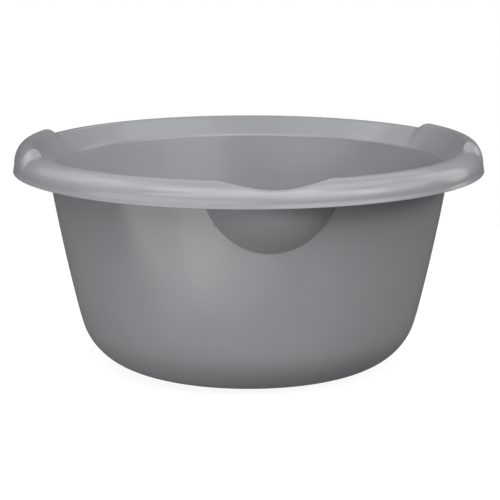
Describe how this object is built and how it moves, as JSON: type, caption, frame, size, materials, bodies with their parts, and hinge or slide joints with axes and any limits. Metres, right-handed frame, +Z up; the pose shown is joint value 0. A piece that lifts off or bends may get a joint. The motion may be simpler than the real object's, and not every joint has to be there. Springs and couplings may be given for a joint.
{
  "type": "washing-up basin",
  "caption": "Round thin-walled plastic basin with a turned-down rim, raised grips on opposite sides and a scooped pouring spout.",
  "frame": {"origin": "centre of the foot ring, on the surface that the basin stands on", "axes": "+Z up out of the open top, -Y towards the pouring spout, +X and -X towards the two raised grips"},
  "size_m": [0.3686, 0.369, 0.178],
  "materials": {
    "grey_plastic": "satin"
  },
  "bodies": {
    "root": {"basin": "grey_plastic"}
  },
  "joints": []
}
